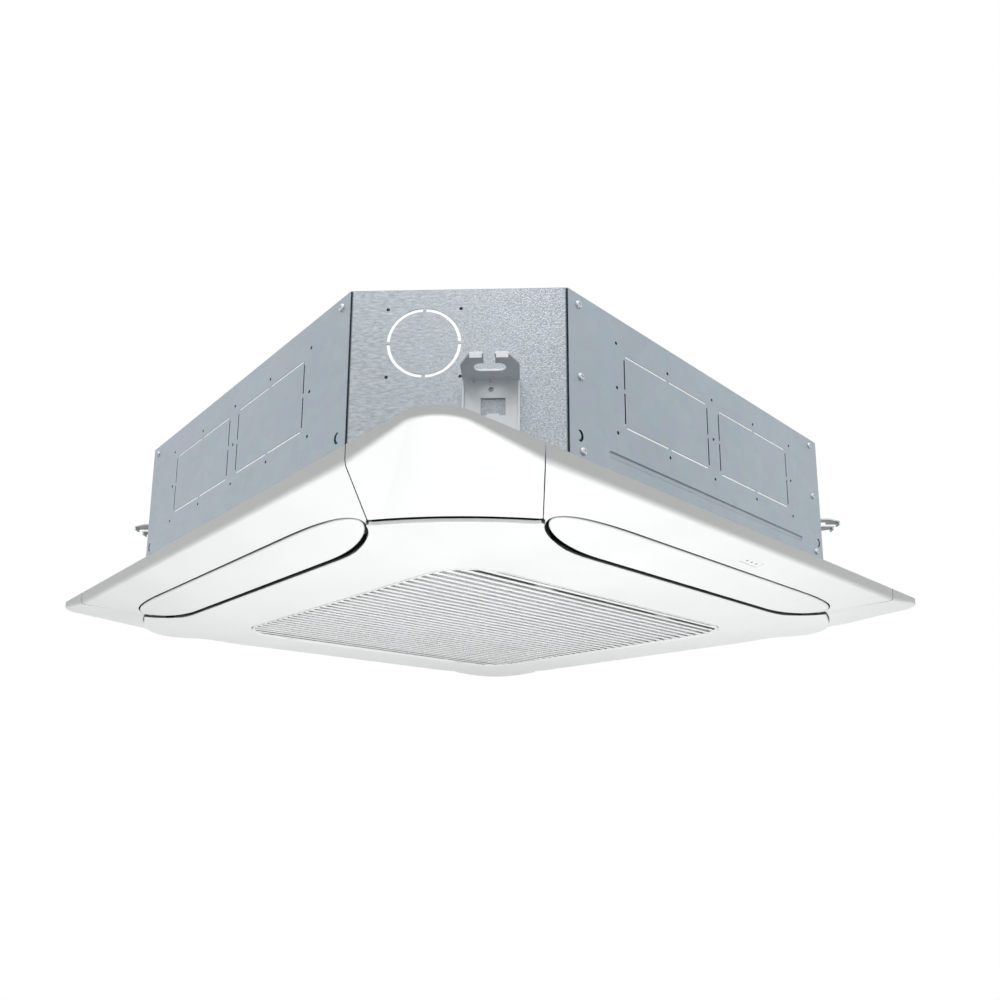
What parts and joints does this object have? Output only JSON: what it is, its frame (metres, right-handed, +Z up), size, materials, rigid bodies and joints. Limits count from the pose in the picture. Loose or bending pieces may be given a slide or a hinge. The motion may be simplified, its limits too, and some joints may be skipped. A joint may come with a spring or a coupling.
{
  "type": "ceiling cassette air conditioner",
  "caption": "Four-way ceiling cassette: octagonal galvanised casing with hanger brackets above a square white panel with pill-shaped vanes and a slatted intake grille.",
  "frame": {"origin": "centre of the ceiling plane, level with the top of the panel rim", "axes": "+Z up into the ceiling void, -Y towards the front of the panel, the grille slats along X"},
  "size_m": [0.95, 0.95, 0.2572],
  "materials": {
    "galvanised_steel": "zinc-coated sheet with a fine spangle",
    "white_panel": "satin white moulding",
    "black_foam": "black closed-cell foam",
    "white_foam": "moulded bead foam",
    "black_plastic": "black moulding",
    "coil_fins": "stacked thin fins",
    "motor_metal": "cast and turned metal",
    "fan_plastic": "grey moulding",
    "board_green": "printed circuit board",
    "clear_window": "smooth window",
    "grey_plastic": "light grey moulding",
    "copper": "bare copper tube",
    "brass_nut": "machined brass",
    "filter_mesh": "fine woven net in a moulded frame"
  },
  "bodies": {
    "casing": {"top_plate": "galvanised_steel", "foam_liner": "white_foam", "drain_pan": "white_foam", "bell_mouth": "black_plastic", "heat_exchanger": "coil_fins", "coil_end_plate_a": "galvanised_steel", "coil_end_plate_b": "galvanised_steel", "fan_motor": "motor_metal", "control_box": "galvanised_steel", "control_box_cover": "galvanised_steel", "circuit_board": "board_green", "terminal_block": "black_plastic", "receiver_window": "clear_window", "receiver_board": "board_green", "drain_pump": "grey_plastic", "float_switch": "grey_plastic", "drain_outlet": "grey_plastic", "liquid_pipe": "copper", "gas_pipe": "copper", "liquid_flare_nut": "brass_nut", "gas_flare_nut": "brass_nut", "pipe_plate": "galvanised_steel", "panel_gasket": "black_foam", "panel_frame": "white_panel", "duct_ring": "white_panel", "centre_panel": "white_panel", "grille_hinge_pin_left": "motor_metal", "grille_hinge_pin_right": "motor_metal", "side_panel_front": "galvanised_steel", "vane_motor_front": "grey_plastic", "side_panel_right": "galvanised_steel", "vane_motor_right": "grey_plastic", "side_panel_back": "galvanised_steel", "vane_motor_back": "grey_plastic", "side_panel_left": "galvanised_steel", "vane_motor_left": "grey_plastic", "corner_panel_near": "galvanised_steel", "hanger_bracket_near": "galvanised_steel", "corner_cover_near": "white_panel", "corner_panel_right": "galvanised_steel", "hanger_bracket_right": "galvanised_steel", "corner_cover_right": "white_panel", "corner_panel_far": "galvanised_steel", "hanger_bracket_far": "galvanised_steel", "corner_cover_far": "white_panel", "corner_panel_left": "galvanised_steel", "hanger_bracket_left": "galvanised_steel", "corner_cover_left": "white_panel"},
    "fan": {"turbo_fan": "fan_plastic", "motor_shaft": "motor_metal", "fan_nut": "galvanised_steel"},
    "grille": {"intake_grille": "white_panel", "air_filter": "filter_mesh"},
    "left_latch": {"grille_latch_left": "white_panel"},
    "right_latch": {"grille_latch_right": "white_panel"},
    "front_vane": {"vane_front": "white_panel"},
    "right_vane": {"vane_right": "white_panel"},
    "back_vane": {"vane_back": "white_panel"},
    "left_vane": {"vane_left": "white_panel"}
  },
  "joints": [
    {"name": "fan_spin", "type": "hinge", "parent": "casing", "child": "fan", "pos_m": [0, 0, 0.1], "axis": [0, 0, 1], "continuous": true},
    {"name": "front_vane_swing", "type": "hinge", "parent": "casing", "child": "front_vane", "pos_m": [0, -0.388, -0.031], "axis": [1, 0, 0], "range_deg": [0, 60]},
    {"name": "right_vane_swing", "type": "hinge", "parent": "casing", "child": "right_vane", "pos_m": [0.388, 0, -0.031], "axis": [0, 1, 0], "range_deg": [0, 60]},
    {"name": "back_vane_swing", "type": "hinge", "parent": "casing", "child": "back_vane", "pos_m": [0, 0.388, -0.031], "axis": [-1, 0, 0], "range_deg": [0, 60]},
    {"name": "left_vane_swing", "type": "hinge", "parent": "casing", "child": "left_vane", "pos_m": [-0.388, 0, -0.031], "axis": [0, -1, 0], "range_deg": [0, 60]},
    {"name": "grille_swing", "type": "hinge", "parent": "casing", "child": "grille", "pos_m": [0, 0.266, -0.0423], "axis": [1, 0, 0], "range_deg": [0, 90]},
    {"name": "left_latch_slide", "type": "slide", "parent": "grille", "child": "left_latch", "axis": [0, -1, 0], "range_m": [0, 0.006]},
    {"name": "right_latch_slide", "type": "slide", "parent": "grille", "child": "right_latch", "axis": [0, -1, 0], "range_m": [0, 0.006]}
  ]
}
